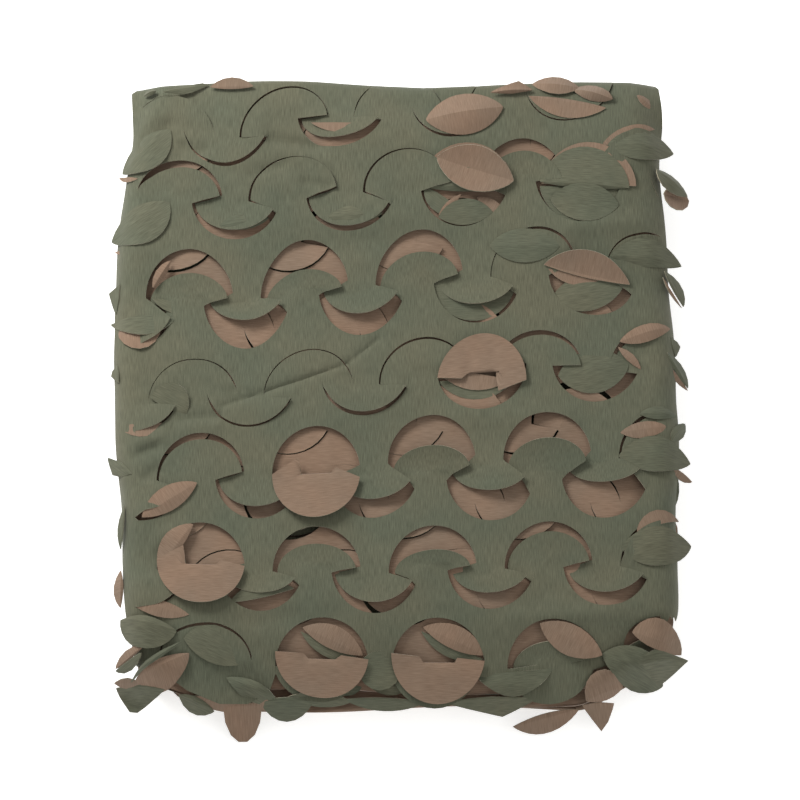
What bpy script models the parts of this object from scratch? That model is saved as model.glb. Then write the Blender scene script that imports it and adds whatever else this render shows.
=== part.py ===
# A folded camouflage net: one length of two-sided cloth, die-cut with rows of interlocking
# half circles, laid back and forth into a flat packet. Metres, +Z up, near edge at -Y.
import math

import bmesh
import bpy
from mathutils import Vector

# Driving dimensions
LAYER_COUNT = 9
LAYER_PITCH = 0.0056
CLOTH_THICKNESS = 0.0012
PACKET_WIDTH = 0.304
LEAF_RADIUS = 0.0253
LEAF_PERIOD = 0.0655
LEAF_DEPTH = 0.0215
LEAF_STEP = 0.0050
LEAF_ENDS = math.radians(12)
BEND_RADIUS = LAYER_PITCH / 2
BEND_STEPS = 4
BACK_START = 0.168
FRONT_END = -0.1715

# Where each bend lies, from the lowest up: near edge, far edge, and so on
BEND_PLACES = (-0.1775, 0.171, -0.174, 0.173, -0.1785, 0.1715, -0.1735, 0.1770)

# Sections across the packet, from the near edge back: the height of the pile and its width
# as shares of the full ones, and how much the layers' edges wander. Every layer creases here.
SECTIONS = (
    {"y": -0.200, "height": 0.52, "width": 0.960, "wander": 1.0},
    {"y": -0.165, "height": 0.75, "width": 0.985, "wander": 0.5},
    {"y": -0.138, "height": 0.95, "width": 1.020, "wander": 0.0},
    {"y": -0.060, "height": 1.00, "width": 1.045, "wander": 0.0},
    {"y": 0.045, "height": 0.96, "width": 1.035, "wander": 0.0},
    {"y": 0.145, "height": 1.00, "width": 0.985, "wander": 0.0},
    {"y": 0.180, "height": 0.84, "width": 0.945, "wander": 1.0},
)
# The pile's height across the packet, from the left side to the right
ACROSS = (
    {"x": -0.160, "height": 0.76},
    {"x": -0.143, "height": 0.92},
    {"x": -0.122, "height": 1.00},
    {"x": 0.124, "height": 1.00},
    {"x": 0.144, "height": 0.90},
    {"x": 0.160, "height": 0.72},
)
WANDER = 0.0022
SIDE_CREASES_FROM = 3

# The upper layer's rows of cuts. line is a row's course, as places across and along the
# packet, and x its first cap. caps are the half circles that arch up, cups the ones that
# hang; a number is how far the cut gapes at its middle in millimetres, 0 is a shut cut,
# and TURNED is a leaf laid over its neck, which leaves the whole half circle open.
TURNED = -1
TURNED_SHARE = 0.97
TURNED_GAP_SHARE = 0.92
TURNED_GAP_INSET = 0.001
UPPER_ROWS = (
    {"line": ((-0.135, 0.1470), (0.036, 0.1610), (0.142, 0.1690)),
     "x": -0.1320, "caps": (0, 0, 0, 0, 0), "cups": (0, 6, 5, 0)},
    {"line": ((-0.123, 0.1075), (-0.060, 0.1085), (0.071, 0.1190), (0.140, 0.1260)),
     "x": -0.1227, "caps": (5, 0, 0, 0, 0), "cups": (4, 0, TURNED, TURNED)},
    {"line": ((-0.119, 0.0515), (-0.053, 0.0535), (0.050, 0.0650), (0.137, 0.0660)),
     "x": -0.1187, "caps": (9, 13, 6, 0, 0), "cups": (11, 9, 13, TURNED)},
    {"line": ((-0.118, -0.0080), (-0.018, 0.0020), (0.141, 0.0130)),
     "x": -0.1176, "caps": (0, 0, 0, 5, 0), "cups": (0, 0, TURNED, 9)},
    {"line": ((-0.113, -0.0560), (0.018, -0.0480), (0.145, -0.0450)),
     "x": -0.1130, "caps": (5, TURNED, 12, 12, 0), "cups": (6, 5, 12, 12)},
    {"line": ((-0.113, -0.1075), (-0.014, -0.1105), (0.148, -0.1050)),
     "x": -0.1125, "caps": (TURNED, 8, 12, 5, 0), "cups": (8, 5, 7, 6)},
    {"line": ((-0.114, -0.1680), (-0.047, -0.1645), (0.089, -0.1660)),
     "x": -0.1125, "caps": (0, TURNED, TURNED, 12, 0), "cups": ()},
)
END_LOBES = (0.0850, 0.0195, -0.0460, -0.1115)
UPPER_ARC_POINTS = 8

# The layers below: the same rows, each a little off the ones above, every few cuts open
LOWER_FIRST_ROW = -0.123
LOWER_ROW_PITCH = 0.0530
LOWER_ROW_COUNT = 6
LOWER_ROW_DRIFT = 0.004
LOWER_COLUMN_DRIFT = 0.005
LOWER_ARC_POINTS = 6
LOWER_GAPE = 0.0115
LOWER_COLUMNS = range(-3, 4)
LOWER_EVERY = 5

# Leaves that stick out of the side edges: the layer, the side, where along Y, how far out
EDGE_LEAVES = (
    {"layer": 8, "side": -1, "y": 0.118, "reach": 0.0055, "half": 0.021},
    {"layer": 7, "side": -1, "y": 0.078, "reach": 0.0120, "half": 0.020},
    {"layer": 6, "side": -1, "y": 0.040, "reach": 0.0140, "half": 0.018},
    {"layer": 7, "side": -1, "y": -0.045, "reach": 0.0140, "half": 0.016},
    {"layer": 5, "side": -1, "y": -0.118, "reach": 0.0100, "half": 0.017},
    {"layer": 3, "side": -1, "y": -0.010, "reach": 0.0110, "half": 0.019},
    {"layer": 2, "side": -1, "y": 0.105, "reach": 0.0090, "half": 0.018},
    {"layer": 7, "side": 1, "y": 0.142, "reach": 0.0065, "half": 0.013},
    {"layer": 6, "side": 1, "y": 0.118, "reach": 0.0160, "half": 0.015},
    {"layer": 8, "side": 1, "y": 0.068, "reach": 0.0085, "half": 0.016},
    {"layer": 7, "side": 1, "y": 0.038, "reach": 0.0115, "half": 0.014},
    {"layer": 5, "side": 1, "y": 0.000, "reach": 0.0130, "half": 0.019},
    {"layer": 7, "side": 1, "y": -0.050, "reach": 0.0145, "half": 0.019},
    {"layer": 8, "side": 1, "y": -0.092, "reach": 0.0125, "half": 0.017},
    {"layer": 4, "side": 1, "y": 0.085, "reach": 0.0110, "half": 0.018},
    {"layer": 3, "side": 1, "y": -0.130, "reach": 0.0070, "half": 0.014},
    {"layer": 6, "side": 1, "y": -0.148, "reach": 0.0110, "half": 0.016},
)

# Leaves that lie flat past a bend of the near edge: the layer they lie in line with,
# where across, how wide, how far past the bend, and how far the tip leans sideways
FRONT_LEAVES = (
    {"layer": 1, "x": -0.089, "half": 0.013, "reach": 0.0200, "lean": -0.002},
    {"layer": 3, "x": -0.064, "half": 0.016, "reach": 0.0110, "lean": 0.003},
    {"layer": 2, "x": -0.118, "half": 0.017, "reach": 0.0080, "lean": -0.004},
    {"layer": 4, "x": -0.140, "half": 0.010, "reach": 0.0070, "lean": -0.004},
    {"layer": 2, "x": 0.020, "half": 0.024, "reach": 0.0065, "lean": 0.004},
    {"layer": 1, "x": 0.082, "half": 0.018, "reach": 0.0140, "lean": 0.005},
    {"layer": 2, "x": 0.112, "half": 0.010, "reach": 0.0130, "lean": 0.003},
    {"layer": 4, "x": -0.020, "half": 0.022, "reach": 0.0060, "lean": -0.003},
    {"layer": 3, "x": 0.055, "half": 0.014, "reach": 0.0085, "lean": 0.002},
    {"layer": 6, "x": 0.128, "half": 0.015, "reach": 0.0060, "lean": 0.004},
)
LEAF_ROOT = 0.012
UNEVEN_CUT = 0.0008
UNEVEN_EDGE = 0.0012
EDGE_DRAWN_IN = 0.0025
LEAF_THICKNESS = CLOTH_THICKNESS * 0.8
END_LOBE_ANGLE = math.radians(18)
END_LOBE_POINTS = 6

WELD = 1e-6
SPLIT_NEAR = 1e-7
CREASE_NEAR = 0.001
FLAT_ANGLE = math.radians(0.05)

GREEN = (0.118, 0.127, 0.083, 1.0)
ROUGHNESS = 0.82


def clear_scene():
    for scene_object in list(bpy.data.objects):
        bpy.data.objects.remove(scene_object, do_unlink=True)


def layer_height(layer):
    return CLOTH_THICKNESS / 2 + layer * LAYER_PITCH


def layer_ends():
    # Start and end of each layer along Y, from the lowest layer up
    places = (BACK_START,) + BEND_PLACES + (FRONT_END,)
    return [(places[layer], places[layer + 1]) for layer in range(LAYER_COUNT)]


def layer_starts():
    # Distance along the unfolded cloth at which each layer starts
    starts = [0.0]
    for start, end in layer_ends()[:-1]:
        starts.append(starts[-1] + abs(end - start) + math.pi * BEND_RADIUS)
    return starts


def unfolded(layer, y):
    # Distance along the unfolded cloth of a place y in a layer
    return layer_starts()[layer] + abs(y - layer_ends()[layer][0])


def row_height(row, x):
    # Where along Y a row's line runs at a place across
    line = row["line"]
    for low, high in zip(line, line[1:]):
        if x <= high[0]:
            break
    share = min(max((x - low[0]) / (high[0] - low[0]), 0.0), 1.0)
    return low[1] + share * (high[1] - low[1])


def arc_points(centre, start, end, count, share=1.0):
    # Points along a leaf's rounded edge, anticlockwise from +X
    angles = [start + (end - start) * step / (count - 1) for step in range(count)]
    return [(centre[0] + share * LEAF_RADIUS * math.cos(a),
             centre[1] + share * LEAF_DEPTH * math.sin(a)) for a in angles]


def arched(ring, baseline, arch):
    # A ring drawn as a cap, hung the other way up where arch is -1
    return [(x, baseline + arch * (y - baseline)) for x, y in ring]


def uneven(place, size):
    # A small, repeatable wander, so that no two cuts or edges line up exactly
    return size * math.sin(61.0 * place[0] + 143.0 * place[1] + 5.0)


def crescent(centre, arch, gape, count):
    # The gap that a leaf leaves when its rounded edge has drawn back from the cut
    x, baseline = centre[0], centre[1] + uneven(centre, UNEVEN_CUT)
    outer = arc_points((x, baseline), LEAF_ENDS, math.pi - LEAF_ENDS, count)
    half_width = outer[0][0] - x
    root = outer[0][1]
    top = baseline + LEAF_DEPTH - gape
    inner = []
    for step in range(1, count - 2):
        angle = math.pi * step / (count - 2)
        inner.append((x - half_width * math.cos(angle), root + (top - root) * math.sin(angle)))
    return arched(outer + inner, baseline, arch)


def open_half_circle(centre, arch):
    # The whole half circle that a turned leaf leaves open
    baseline = centre[1] + arch * TURNED_GAP_INSET + uneven(centre, UNEVEN_CUT)
    ring = arc_points((centre[0], baseline), 0.0, math.pi, UPPER_ARC_POINTS, TURNED_GAP_SHARE)
    return arched(ring, baseline, arch)


def turned_leaf(centre, arch):
    # A leaf laid flat over its neck, with the step that the cutter leaves in its straight edge
    x, baseline = centre
    ring = arc_points(centre, 0.0, math.pi, UPPER_ARC_POINTS + 1, TURNED_SHARE)
    ring += [(x - LEAF_STEP, baseline), (x - LEAF_STEP, baseline + LEAF_STEP)]
    return arched(ring, baseline, -arch)


def upper_openings():
    # Gaps and turned leaves of the uppermost layer, in its own plan
    gaps, leaves = [], []
    for row in UPPER_ROWS:
        for arch, shift, gapes in ((1, 0.0, row["caps"]), (-1, LEAF_PERIOD / 2, row["cups"])):
            for column, gape in enumerate(gapes):
                x = row["x"] + shift + column * LEAF_PERIOD
                centre = (x, row_height(row, x))
                if gape == TURNED:
                    gaps.append(open_half_circle(centre, arch))
                    leaves.append(turned_leaf(centre, arch))
                elif gape > 0:
                    gaps.append(crescent(centre, arch, gape / 1000, UPPER_ARC_POINTS))
    return gaps, leaves


def lower_openings(layer):
    gaps = []
    for row in range(LOWER_ROW_COUNT):
        drift = LOWER_ROW_DRIFT * math.sin(2.1 * layer + row)
        y = LOWER_FIRST_ROW + row * LOWER_ROW_PITCH + drift
        for column in LOWER_COLUMNS:
            if (column + 2 * row + 3 * layer) % LOWER_EVERY:
                continue
            x = column * LEAF_PERIOD / 2 + LOWER_COLUMN_DRIFT * math.sin(1.3 * layer)
            arch = 1 if column % 2 else -1
            gaps.append(crescent((x, y), arch, LOWER_GAPE, LOWER_ARC_POINTS))
    return gaps


def side_edge(side):
    # One long edge of the unfolded cloth, with its leaves, from the lowest layer up
    points = []
    for layer, (start, end) in enumerate(layer_ends()):
        edge = side * (PACKET_WIDTH / 2 + uneven((side, layer), UNEVEN_EDGE))
        leaves = [leaf for leaf in EDGE_LEAVES if leaf["layer"] == layer and leaf["side"] == side]
        drawn_in = edge - side * EDGE_DRAWN_IN * (1 + math.sin(2.3 * layer + side))
        run = [(edge, start)]
        for leaf in sorted(leaves, key=lambda leaf: abs(leaf["y"] - start)):
            tip = edge + side * leaf["reach"]
            shoulder = edge + side * leaf["reach"] * 0.75
            half = leaf["half"] if end > start else -leaf["half"]
            run += [(drawn_in, leaf["y"] - half), (shoulder, leaf["y"] - half * 0.45),
                    (tip, leaf["y"] + half * 0.1), (drawn_in, leaf["y"] + half)]
        run.append((edge, end))
        points += [(x, unfolded(layer, y)) for x, y in run]
    return points


def end_lobes():
    # The free end of the uppermost layer: its last row of cups hangs as rounded lobes
    points = []
    for x in END_LOBES:
        centre = (x, row_height(UPPER_ROWS[-1], x))
        points += arc_points(centre, -END_LOBE_ANGLE, END_LOBE_ANGLE - math.pi, END_LOBE_POINTS)
    return [(x, unfolded(LAYER_COUNT - 1, y)) for x, y in points]


def outline():
    return side_edge(1) + end_lobes() + side_edge(-1)[::-1]


def flat_object(name, rings, thickness, height=0.0):
    # A flat plate from closed rings of points: the first rings are outlines or holes alike
    curve = bpy.data.curves.new(name, "CURVE")
    curve.dimensions = "2D"
    curve.fill_mode = "BOTH"
    curve.extrude = thickness / 2
    for ring in rings:
        spline = curve.splines.new("POLY")
        spline.points.add(len(ring) - 1)
        for point, (x, y) in zip(spline.points, ring):
            point.co = (x, y, 0.0, 1.0)
        spline.use_cyclic_u = True
    source = bpy.data.objects.new(name + "_curve", curve)
    bpy.context.scene.collection.objects.link(source)
    bpy.context.view_layer.update()
    depsgraph = bpy.context.evaluated_depsgraph_get()
    mesh = bpy.data.meshes.new_from_object(source.evaluated_get(depsgraph))
    mesh.name = name
    bpy.data.objects.remove(source, do_unlink=True)
    work = bmesh.new()
    work.from_mesh(mesh)
    bmesh.ops.remove_doubles(work, verts=work.verts, dist=WELD)
    bmesh.ops.recalc_face_normals(work, faces=work.faces)
    bmesh.ops.translate(work, verts=work.verts, vec=Vector((0, 0, height)))
    work.to_mesh(mesh)
    work.free()
    flat = bpy.data.objects.new(name, mesh)
    bpy.context.scene.collection.objects.link(flat)
    return flat


def unite(base, other):
    # Joins a second closed mesh to the first, and removes it
    modifier = base.modifiers.new("unite", "BOOLEAN")
    modifier.operation = "UNION"
    modifier.solver = "EXACT"
    modifier.object = other
    bpy.context.view_layer.update()
    depsgraph = bpy.context.evaluated_depsgraph_get()
    mesh = bpy.data.meshes.new_from_object(base.evaluated_get(depsgraph))
    base.modifiers.clear()
    base.data = mesh
    bpy.data.objects.remove(other, do_unlink=True)


def crease_places():
    # Distances along the unfolded cloth where it bends
    places = []
    for layer, (start, end) in enumerate(layer_ends()):
        low, high = min(start, end), max(start, end)
        places += [unfolded(layer, section["y"]) for section in SECTIONS
                   if low + CREASE_NEAR < section["y"] < high - CREASE_NEAR]
        if layer < LAYER_COUNT - 1:
            bend = unfolded(layer, end)
            places += [bend + math.pi * BEND_RADIUS * step / BEND_STEPS
                       for step in range(BEND_STEPS + 1)]
    return sorted(places)


def split(work, faces, place, normal):
    edges = {edge for face in faces for edge in face.edges}
    verts = {vertex for face in faces for vertex in face.verts}
    bmesh.ops.bisect_plane(work, geom=list(verts) + list(edges) + list(faces),
                           dist=SPLIT_NEAR, plane_co=place, plane_no=normal)


def split_at_creases(work):
    # The lowest layers sink so little at the sides that they need no crease there
    bmesh.ops.triangulate(work, faces=work.faces)
    for along in crease_places():
        split(work, list(work.faces), (0, along, 0), (0, 1, 0))
    first = layer_starts()[SIDE_CREASES_FROM]
    for section in ACROSS[1:-1]:
        upper_faces = [face for face in work.faces if face.calc_center_median().y > first]
        split(work, upper_faces, (section["x"], 0, 0), (1, 0, 0))


def folded_point(point):
    # A point of the unfolded cloth, laid back and forth
    x, along, offset = point
    starts, ends = layer_starts(), layer_ends()
    layer = max(index for index in range(LAYER_COUNT) if index == 0 or starts[index] <= along + SPLIT_NEAR)
    start, end = ends[layer]
    way = 1 if end > start else -1
    face = 1 if layer % 2 == 0 else -1
    run = along - starts[layer]
    length = abs(end - start)
    height = layer_height(layer)
    if run <= length or layer == LAYER_COUNT - 1:
        return Vector((x, start + way * run, height + face * offset))
    turn = (run - length) / BEND_RADIUS
    radius = BEND_RADIUS - face * offset
    return Vector((x, end + way * radius * math.sin(turn),
                   height + BEND_RADIUS - radius * math.cos(turn)))


def between(sections, axis, name, place):
    # Straight-line reading of one column of a table of sections
    if place <= sections[0][axis]:
        return sections[0][name]
    for low, high in zip(sections, sections[1:]):
        if place <= high[axis]:
            share = (place - low[axis]) / (high[axis] - low[axis])
            return low[name] + share * (high[name] - low[name])
    return sections[-1][name]


def settled(point):
    # The pile sinks toward its edges and creases, while its bottom stays flat
    height = between(SECTIONS, "y", "height", point.y) * between(ACROSS, "x", "height", point.x)
    width = between(SECTIONS, "y", "width", point.y)
    wander = WANDER * between(SECTIONS, "y", "wander", point.y)
    shift = wander * math.sin(34.0 * point.x + 95.0 * point.z)
    return Vector((point.x * width, point.y + shift, point.z * height))


def reshape(mesh_object, place_of):
    work = bmesh.new()
    work.from_mesh(mesh_object.data)
    for vertex in work.verts:
        vertex.co = place_of(vertex.co)
    work.to_mesh(mesh_object.data)
    work.free()


def front_leaf(index, leaf):
    # A leaf that stays straight where its layer turns at the near edge
    bend = min(layer_ends()[leaf["layer"]])
    tip = bend - BEND_RADIUS - leaf["reach"]
    x, half, lean = leaf["x"], leaf["half"], leaf["lean"]
    ring = [(x + half, bend + LEAF_ROOT), (x - half, bend + LEAF_ROOT), (x - half, bend),
            (x - half * 0.85 + lean * 0.6, (bend + tip) / 2 - 0.002), (x - half * 0.35 + lean, tip),
            (x + half * 0.3 + lean, tip + 0.0008), (x + half * 0.9 + lean * 0.4, (bend + tip) / 2),
            (x + half, bend)]
    return flat_object(f"front_leaf_{index}", [ring], LEAF_THICKNESS,
                       layer_height(leaf["layer"]))


def merge_flat_faces(mesh_object):
    work = bmesh.new()
    work.from_mesh(mesh_object.data)
    bmesh.ops.dissolve_limit(work, angle_limit=FLAT_ANGLE, verts=work.verts, edges=work.edges)
    bmesh.ops.triangulate(work, faces=work.faces)
    work.to_mesh(mesh_object.data)
    work.free()


def centre_on_base(mesh_object):
    corners = [vertex.co for vertex in mesh_object.data.vertices]
    middle = [(min(c[axis] for c in corners) + max(c[axis] for c in corners)) / 2
              for axis in (0, 1)]
    floor = min(c.z for c in corners)
    reshape(mesh_object, lambda p: Vector((p.x - middle[0], p.y - middle[1], p.z - floor)))


def cloth_material():
    material = bpy.data.materials.new("green_and_brown_cloth")
    material.use_nodes = True
    surface = material.node_tree.nodes["Principled BSDF"]
    surface.inputs["Base Color"].default_value = GREEN
    surface.inputs["Roughness"].default_value = ROUGHNESS
    surface.inputs["Metallic"].default_value = 0.0
    return material


def make_net():
    gaps, leaves = upper_openings()
    upper = LAYER_COUNT - 1
    rings = [outline()]
    rings += [[(x, unfolded(upper, y)) for x, y in gap] for gap in gaps]
    for layer in range(upper):
        rings += [[(x, unfolded(layer, y)) for x, y in gap] for gap in lower_openings(layer)]
    print("openings", len(rings) - 1)
    net = flat_object("net", rings, CLOTH_THICKNESS)
    for index, leaf in enumerate(leaves):
        ring = [(x, unfolded(upper, y)) for x, y in leaf]
        unite(net, flat_object(f"turned_leaf_{index}", [ring], CLOTH_THICKNESS,
                               CLOTH_THICKNESS * 0.8))
    work = bmesh.new()
    work.from_mesh(net.data)
    split_at_creases(work)
    for vertex in work.verts:
        vertex.co = folded_point(vertex.co)
    bmesh.ops.recalc_face_normals(work, faces=work.faces)
    work.to_mesh(net.data)
    work.free()
    for index, leaf in enumerate(FRONT_LEAVES):
        unite(net, front_leaf(index, leaf))
    reshape(net, settled)
    merge_flat_faces(net)
    centre_on_base(net)
    net.data.materials.clear()
    net.data.materials.append(cloth_material())
    return net


def main():
    clear_scene()
    collection = bpy.data.collections.new("folded_camouflage_net")
    bpy.context.scene.collection.children.link(collection)
    net = make_net()
    bpy.context.scene.collection.objects.unlink(net)
    collection.objects.link(net)
    print("triangles", sum(len(face.vertices) - 2 for face in net.data.polygons))
    print("size", [round(d * 1000, 1) for d in net.dimensions])


main()
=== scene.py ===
import bpy, bmesh
import numpy as np
from math import asin, copysign, cos, exp, hypot, pi, radians, sin, sqrt
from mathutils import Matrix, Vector, kdtree, noise
from mathutils.geometry import delaunay_2d_cdt


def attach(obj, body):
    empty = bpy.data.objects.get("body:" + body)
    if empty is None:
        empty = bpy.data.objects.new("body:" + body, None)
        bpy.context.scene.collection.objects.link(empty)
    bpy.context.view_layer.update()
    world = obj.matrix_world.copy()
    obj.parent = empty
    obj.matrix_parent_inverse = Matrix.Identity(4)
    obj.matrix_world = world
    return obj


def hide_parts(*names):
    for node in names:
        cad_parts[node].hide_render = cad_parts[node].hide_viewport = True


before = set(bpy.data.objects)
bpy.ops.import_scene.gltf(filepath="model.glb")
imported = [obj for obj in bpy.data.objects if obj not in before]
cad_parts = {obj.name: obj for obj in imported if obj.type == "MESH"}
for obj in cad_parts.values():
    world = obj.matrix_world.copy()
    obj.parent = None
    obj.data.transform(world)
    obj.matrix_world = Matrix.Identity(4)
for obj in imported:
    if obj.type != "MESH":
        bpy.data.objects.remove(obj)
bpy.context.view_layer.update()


def addObject(name, data):
    made = bpy.data.objects.new(name, data)
    bpy.context.scene.collection.objects.link(made)
    return made


def mm(values):
    # Metres from millimetres, for a number or a table of them
    if isinstance(values, (int, float)):
        return values / 1000
    return tuple(mm(value) for value in values)


# The cloth: one length laid back and forth, from the lowest layer up
pile = {
    "layers": 9,
    "pitch": 0.0056,
    "thickness": 0.0006,
    "edgeHalf": (0.150, 0.151, 0.149, 0.150, 0.148, 0.150, 0.142, 0.150, 0.1576),
    "backStart": 0.168,
    "frontEnd": -0.1715,
    "bends": (-0.1775, 0.171, -0.174, 0.173, -0.1785, 0.1715, -0.1735, 0.1775),
    "bendSteps": 8,
    "middle": (0.0006, 0.0110),  # brings the pile over the middle of its base
    "wander": 0.0022,
    "wanderTurns": (34.0, 95.0),  # how fast that changes across and up the pile
    "upperFrom": 5,  # the layers above this one are the upper ones
    "creasedFrom": 6.4,
    "rollStart": 0.138,  # where the upper layers begin to turn down over the sides
    "rollRadius": 0.0140,
    "rollTurn": 1.40,
    "rollWave": 0.0035,
    "halfWidth": 0.152,
    "rollEase": 0.72,  # how much less they turn down at the far corners
    "rollEaseFrom": 0.128,
    "rollEaseOver": 0.045,
    "closeUp": 0.0038,  # how much nearer the two upper layers lie to each other
    "closeAt": 7,
    "closeOver": 1.6,
    "cornerPull": (0.013, 0.021),  # how far the near corners are drawn back, left and right
    "cornerFrom": (0.098, -0.128),  # where that begins, across and along
    "cornerOver": (0.052, 0.045),
    "widenFrom": 0.090,  # where a lower layer begins to follow the changing width
    "widenOver": 0.055,
    "flatSize": (0.304, 3.20),  # the layers and the bends between them, laid out flat
    "sharpFrom": 48,  # an edge that turns more than this stays sharp, in degrees
}
# How the layers rest on each other: where their edges count as free, and how high the broad
# ripple, the small one and that of the free edges are
lying = {
    "side": 0.150, "near": 0.178, "far": 0.176,
    "edgeFrom": 0.004, "edgeOver": 0.030,
    "broad": 0.0022, "small": 0.0007, "edgeWave": 0.0022,
}
# The cloth's own side edges: how far they wave, and how deep the shallow notches in them are
sideEdge = {"wave": 0.0012, "notch": 0.0020, "meshShare": 0.8}
# How the pile sinks from the near edge back and how far it reaches out to the left and to the
# right: place, height, left, right, wander
pileAlong = ((-0.200, 0.52, 0.146, 0.146, 1.0), (-0.182, 0.66, 0.148, 0.148, 0.9),
             (-0.165, 0.80, 0.151, 0.152, 0.6), (-0.135, 0.96, 0.155, 0.156, 0.0),
             (-0.090, 1.00, 0.158, 0.158, 0.0), (-0.038, 1.00, 0.161, 0.158, 0.0),
             (0.003, 1.00, 0.163, 0.157, 0.0), (0.060, 0.97, 0.162, 0.154, 0.0),
             (0.100, 1.00, 0.160, 0.152, 0.0), (0.127, 1.00, 0.158, 0.150, 0.0),
             (0.150, 1.00, 0.153, 0.148, 0.0), (0.168, 0.96, 0.150, 0.146, 0.4),
             (0.180, 0.88, 0.149, 0.145, 0.8))
# How the lower layers sink toward the sides: place, height
pileAcross = ((-0.160, 0.76), (-0.143, 0.92), (-0.122, 1.0), (0.0, 1.0), (0.124, 1.0),
              (0.144, 0.90), (0.160, 0.72))

# The cutter's figure: half circles that stand (caps) and hang (cups) on one wavy cut
figure = {
    "radius": 0.0254,
    "drop": 0.0033,  # how far a half circle's centre lies below its ends
    "tail": 0.0040,  # how much further its other end runs on
    "shortTail": 0.0010,  # the same where the next leaf's wing takes the corner
    "corner": 0.0105,  # how far back along its round cut that wing meets it
    "period": 0.0655,
    "cupShift": 0.0330,
    "neckLeft": 0.0075,  # half widths of the neck that holds a leaf
    "neckRight": 0.0078,
    "margin": 0.0065,  # uncut cloth left along the edges
    "step": 0.0024,
    "boxWide": 0.027,  # a leaf's reach from its centre and from its row, rounded up
    "boxTall": 0.032,
}

# The uppermost layer's rows, in millimetres. line is the row's course over the cloth and x its
# first cap; gap is how far the two sides have drawn apart along it, tall and slim how much that
# stretches the holes. The numbers are how much of its height each leaf still covers, in
# hundredths, 0 for a leaf that is turned over and -1 for one that has slipped under.
upperRows = (
    {"line": ((-132, 151.5), (-99, 149.5), (-67, 155), (-32, 162), (1, 164.5), (32, 167.5),
              (64, 172.5), (96, 177.5), (130, 181)),
     "x": -132, "gap": ((0, -1.7),), "tall": 1.00, "slim": 1.00,
     "cups": (95, 95, 72, 96, 97), "caps": (96, 97, 97, 97)},
    {"line": ((-127, 108), (-94, 109), (-64, 110), (-28, 114), (4, 115), (38, 117),
              (72, 121.5), (107, 119), (135, 128)),
     "x": -126.8, "gap": ((0, 4),), "tall": 1.00, "slim": 1.00,
     "cups": (97, 80, 90, -1, -1, 96), "caps": (84, 95, 96, 70, 97)},
    {"line": ((-118, 50), (-85, 49), (-58, 55.5), (-21, 57), (5, 61.5), (40, 63.5),
              (72, 64.5), (107, 67), (135, 63)),
     "x": -120, "gap": ((-118, 9), (-20, 8), (40, 7), (107, 4)), "tall": 1.10, "slim": 0.98,
     "cups": (97, 49, 62, 66, -1, 70), "caps": (57, 47, 60, 96, 97)},
    {"line": ((-118, -8), (-70, -4), (-18, 2), (47, 7.5), (112, 10), (141, 13)),
     "x": -117.6, "gap": ((0, -1.2), (47, 3), (90, -1.2)), "tall": 1.00, "slim": 1.00,
     "cups": (97, 95, 96, 0, -1, 97), "caps": (96, 96, 97, 88, 80)},
    {"line": ((-113, -56), (-48, -53), (18, -50), (81, -50), (145, -47)),
     "x": -113, "gap": ((-113, 3.8), (-47, 6), (18, 14), (84, 16.5), (145, 14)),
     "tall": 1.06, "slim": 0.98,
     "cups": (80, 76, 68, 55, 46, 90), "caps": (88, 0, 50, 60, 97)},
    {"line": ((-113, -107.5), (-14, -110.5), (54, -108), (148, -105)),
     "x": -112.5, "gap": ((0, 3.6),), "tall": 1.04, "slim": 0.98,
     "cups": (97, 62, 78, 66, 70, 97), "caps": (0, 62, 46, 78, 97)},
    {"line": ((-114, -165), (-47, -161.5), (89, -163)),
     "x": -109.5, "gap": ((0, 2),), "tall": 1.04, "slim": 1.04,
     "cups": (), "caps": (96, 0, 0, 52, -1)},
)
for row in upperRows:
    for name in ("line", "x", "gap"):
        row[name] = mm(row[name])

# The cloth's free near end: round lobes, each a little short of a half turn, and then a plain
# stretch
endLobes = {"centres": mm((85, 19.5, -46)), "depth": 0.0225, "short": 0.32, "steps": 14}
plainEnd = mm(((-74, -180), (-86, -186), (-102, -185.5), (-120, -181.5), (-137, -174.5)))

# How a leaf lies, from the share of its height that it still covers
leafLie = {
    "narrow": 0.22,  # how much it draws in sideways as it sinks
    "tuck": 0.45,  # the same for the part of a wing on the neck's other side
    "trim": 0.024,  # how much smaller a cut leaf lies than its hole
    "wing": 0.0022,  # how far its wings pass over and under the next leaves
    "lift": 0.0018,  # how far the rounded edge stands up
    "tilt": 0.0014,  # how far that of a closed leaf rises or sinks
    "slip": 0.0005,  # how far a closed leaf is out of its place
    "reach": 0.0085,  # how far from its neck it is free to move
    "turnedBend": 0.0013,
    "turnedShare": 0.97,
    "turnedCupShare": 1.10,
    "turnedCurl": 0.0022,  # how far a turned leaf's round rim curls up
    "turnedWave": 0.0008,
    "curlFrom": 0.008,
    "neckEase": 0.0020,  # how soon beside its neck a turned leaf lies flat
    "heldFrom": 0.003,  # a leaf isn't free to move so near the cloth's edge
    "heldOver": 0.012,
    "closedFrom": 0.94,  # a leaf that covers more than this lies shut
    "closedLift": 0.0009,
    "closedOdd": 0.0007,  # how much that differs from leaf to leaf
}

# The lower layers' rows: the leaves are shut but for about every seventh, which gapes a little
lowerRows = {
    "first": -0.123, "pitch": 0.0530, "count": 6, "drift": 0.004, "sideDrift": 0.005,
    "every": 7, "shutShare": 98, "openShare": 78, "step": 0.0048, "trim": 0.009,
}

# Grid spacing of each layer's mesh, from the lowest up
gridSteps = (0.0105, 0.0115, 0.0115, 0.0115, 0.0115, 0.0115, 0.0100, 0.0056, 0.0038)

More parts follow.
